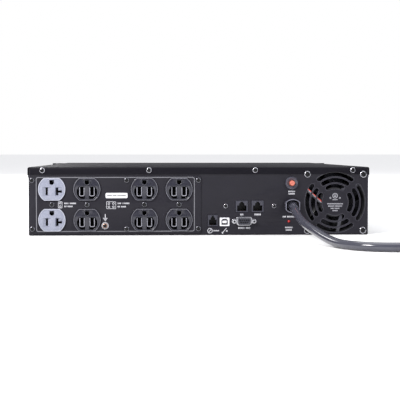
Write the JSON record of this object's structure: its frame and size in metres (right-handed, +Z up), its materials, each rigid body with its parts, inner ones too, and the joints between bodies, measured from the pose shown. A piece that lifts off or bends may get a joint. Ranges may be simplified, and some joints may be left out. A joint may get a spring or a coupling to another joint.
{
  "type": "rackmount uninterruptible power supply",
  "caption": "Two-unit rackmount UPS with rear outlets, surge and data ports, breaker, fan, fixed mains lead, front battery drawer and rack ears.",
  "frame": {"origin": "under the middle of the footprint of the case, bezel and set breaker button, on the underside of the chassis", "axes": "+X to the right as seen from the rear, +Y from the rear panel to the front bezel, +Z up"},
  "size_m": [0.6243, 0.728, 0.0865],
  "materials": {
    "chassis_paint": "satin powder coat",
    "panel_paint": "satin powder coat",
    "cover_paint": "satin powder coat",
    "plate_paint": "satin powder coat",
    "bright_screw": "bright zinc plate",
    "dark_screw": "black zinc plate",
    "outlet_grey": "moulded, satin",
    "outlet_black": "moulded, semi-gloss",
    "contact_copper": "rolled copper alloy",
    "label_white": "printed film",
    "ground_brass": "plated steel",
    "jack_plastic": "moulded",
    "usb_plastic": "moulded",
    "port_metal": "tin plate",
    "black_plastic": "moulded",
    "board_green": "solder mask",
    "light_red": "tinted lens",
    "breaker_red": "moulded",
    "cord_pvc": "glossy PVC jacket",
    "tie_fabric": "hook and loop strap",
    "plug_plastic": "moulded PVC",
    "blade_brass": "plain brass",
    "fan_plastic": "glass-filled nylon",
    "wire_insulation": "PVC insulation",
    "core_steel": "varnished laminations",
    "coil_copper": "enamelled wire and tape",
    "heat_sink_aluminium": "extruded",
    "capacitor_sleeve": "shrink sleeve",
    "relay_plastic": "moulded",
    "bare_steel": "galvanised",
    "battery_plastic": "moulded ABS",
    "terminal_tin": "tinned",
    "connector_plastic": "moulded",
    "bezel_plastic": "fine texture",
    "display_glass": "clear window",
    "button_plastic": "soft touch"
  },
  "bodies": {
    "chassis": {"chassis_tray": "chassis_paint", "rear_panel": "panel_paint", "front_wall": "bare_steel", "bay_wall": "bare_steel", "top_cover": "cover_paint", "case_screws": "bright_screw", "outlet_plate": "plate_paint", "outlet_20a": "outlet_grey", "outlet_15a_left": "outlet_black", "outlet_15a_middle": "outlet_black", "outlet_15a_right": "outlet_black", "outlet_contacts": "contact_copper", "outlet_screws": "dark_screw", "bank_label": "label_white", "ground_screw": "ground_brass", "network_jack_in": "jack_plastic", "network_jack_out": "jack_plastic", "shutdown_jack": "jack_plastic", "usb_port": "usb_plastic", "serial_shell": "port_metal", "serial_insert": "black_plastic", "serial_jackscrews": "port_metal", "comm_board": "board_green", "comm_screws": "bright_screw", "fault_light": "light_red", "breaker_body": "black_plastic", "strain_relief": "black_plastic", "power_cord_lead": "cord_pvc", "power_cord_coil": "cord_pvc", "power_cord_tail": "cord_pvc", "cord_tie": "tie_fabric", "plug_body": "plug_plastic", "plug_blades": "blade_brass", "fan_frame": "fan_plastic", "fan_screws": "bright_screw", "fan_leads": "wire_insulation", "main_board": "board_green", "transformer_core": "core_steel", "transformer_coil": "coil_copper", "heat_sinks": "heat_sink_aluminium", "capacitors": "capacitor_sleeve", "relays": "relay_plastic", "bay_socket": "connector_plastic", "front_bezel": "bezel_plastic", "display_module": "display_glass", "control_board": "board_green", "rack_ear_left": "chassis_paint", "rack_ear_right": "chassis_paint"},
    "battery_tray": {"battery_tray": "bare_steel", "batteries_rear": "battery_plastic", "batteries_front": "battery_plastic", "battery_terminals": "terminal_tin", "battery_leads": "wire_insulation", "battery_plug": "connector_plastic"},
    "battery_cover": {"battery_cover": "bezel_plastic"},
    "fan_rotor": {"fan_rotor": "fan_plastic"},
    "breaker_button": {"breaker_button": "breaker_red"},
    "power_button": {"power_button": "button_plastic"},
    "display_button": {"display_button": "button_plastic"},
    "mute_button": {"mute_button": "button_plastic"}
  },
  "joints": [
    {"name": "fan_spin", "type": "hinge", "parent": "chassis", "child": "fan_rotor", "pos_m": [0.173, -0.24, 0.0414], "axis": [0, -1, 0], "continuous": true},
    {"name": "breaker_trip", "type": "slide", "parent": "chassis", "child": "breaker_button", "axis": [0, -1, 0], "range_m": [0, 0.004]},
    {"name": "battery_tray_slide", "type": "slide", "parent": "chassis", "child": "battery_tray", "axis": [0, 1, 0], "range_m": [0, 0.2]},
    {"name": "battery_cover_pull", "type": "slide", "parent": "battery_tray", "child": "battery_cover", "axis": [0, 1, 0], "range_m": [0, 0.06]},
    {"name": "power_button_press", "type": "slide", "parent": "chassis", "child": "power_button", "axis": [0, -1, 0], "range_m": [0, 0.0015], "stiffness_N_per_m": 250},
    {"name": "display_button_press", "type": "slide", "parent": "chassis", "child": "display_button", "axis": [0, -1, 0], "range_m": [0, 0.0015], "stiffness_N_per_m": 250},
    {"name": "mute_button_press", "type": "slide", "parent": "chassis", "child": "mute_button", "axis": [0, -1, 0], "range_m": [0, 0.0015], "stiffness_N_per_m": 250}
  ]
}
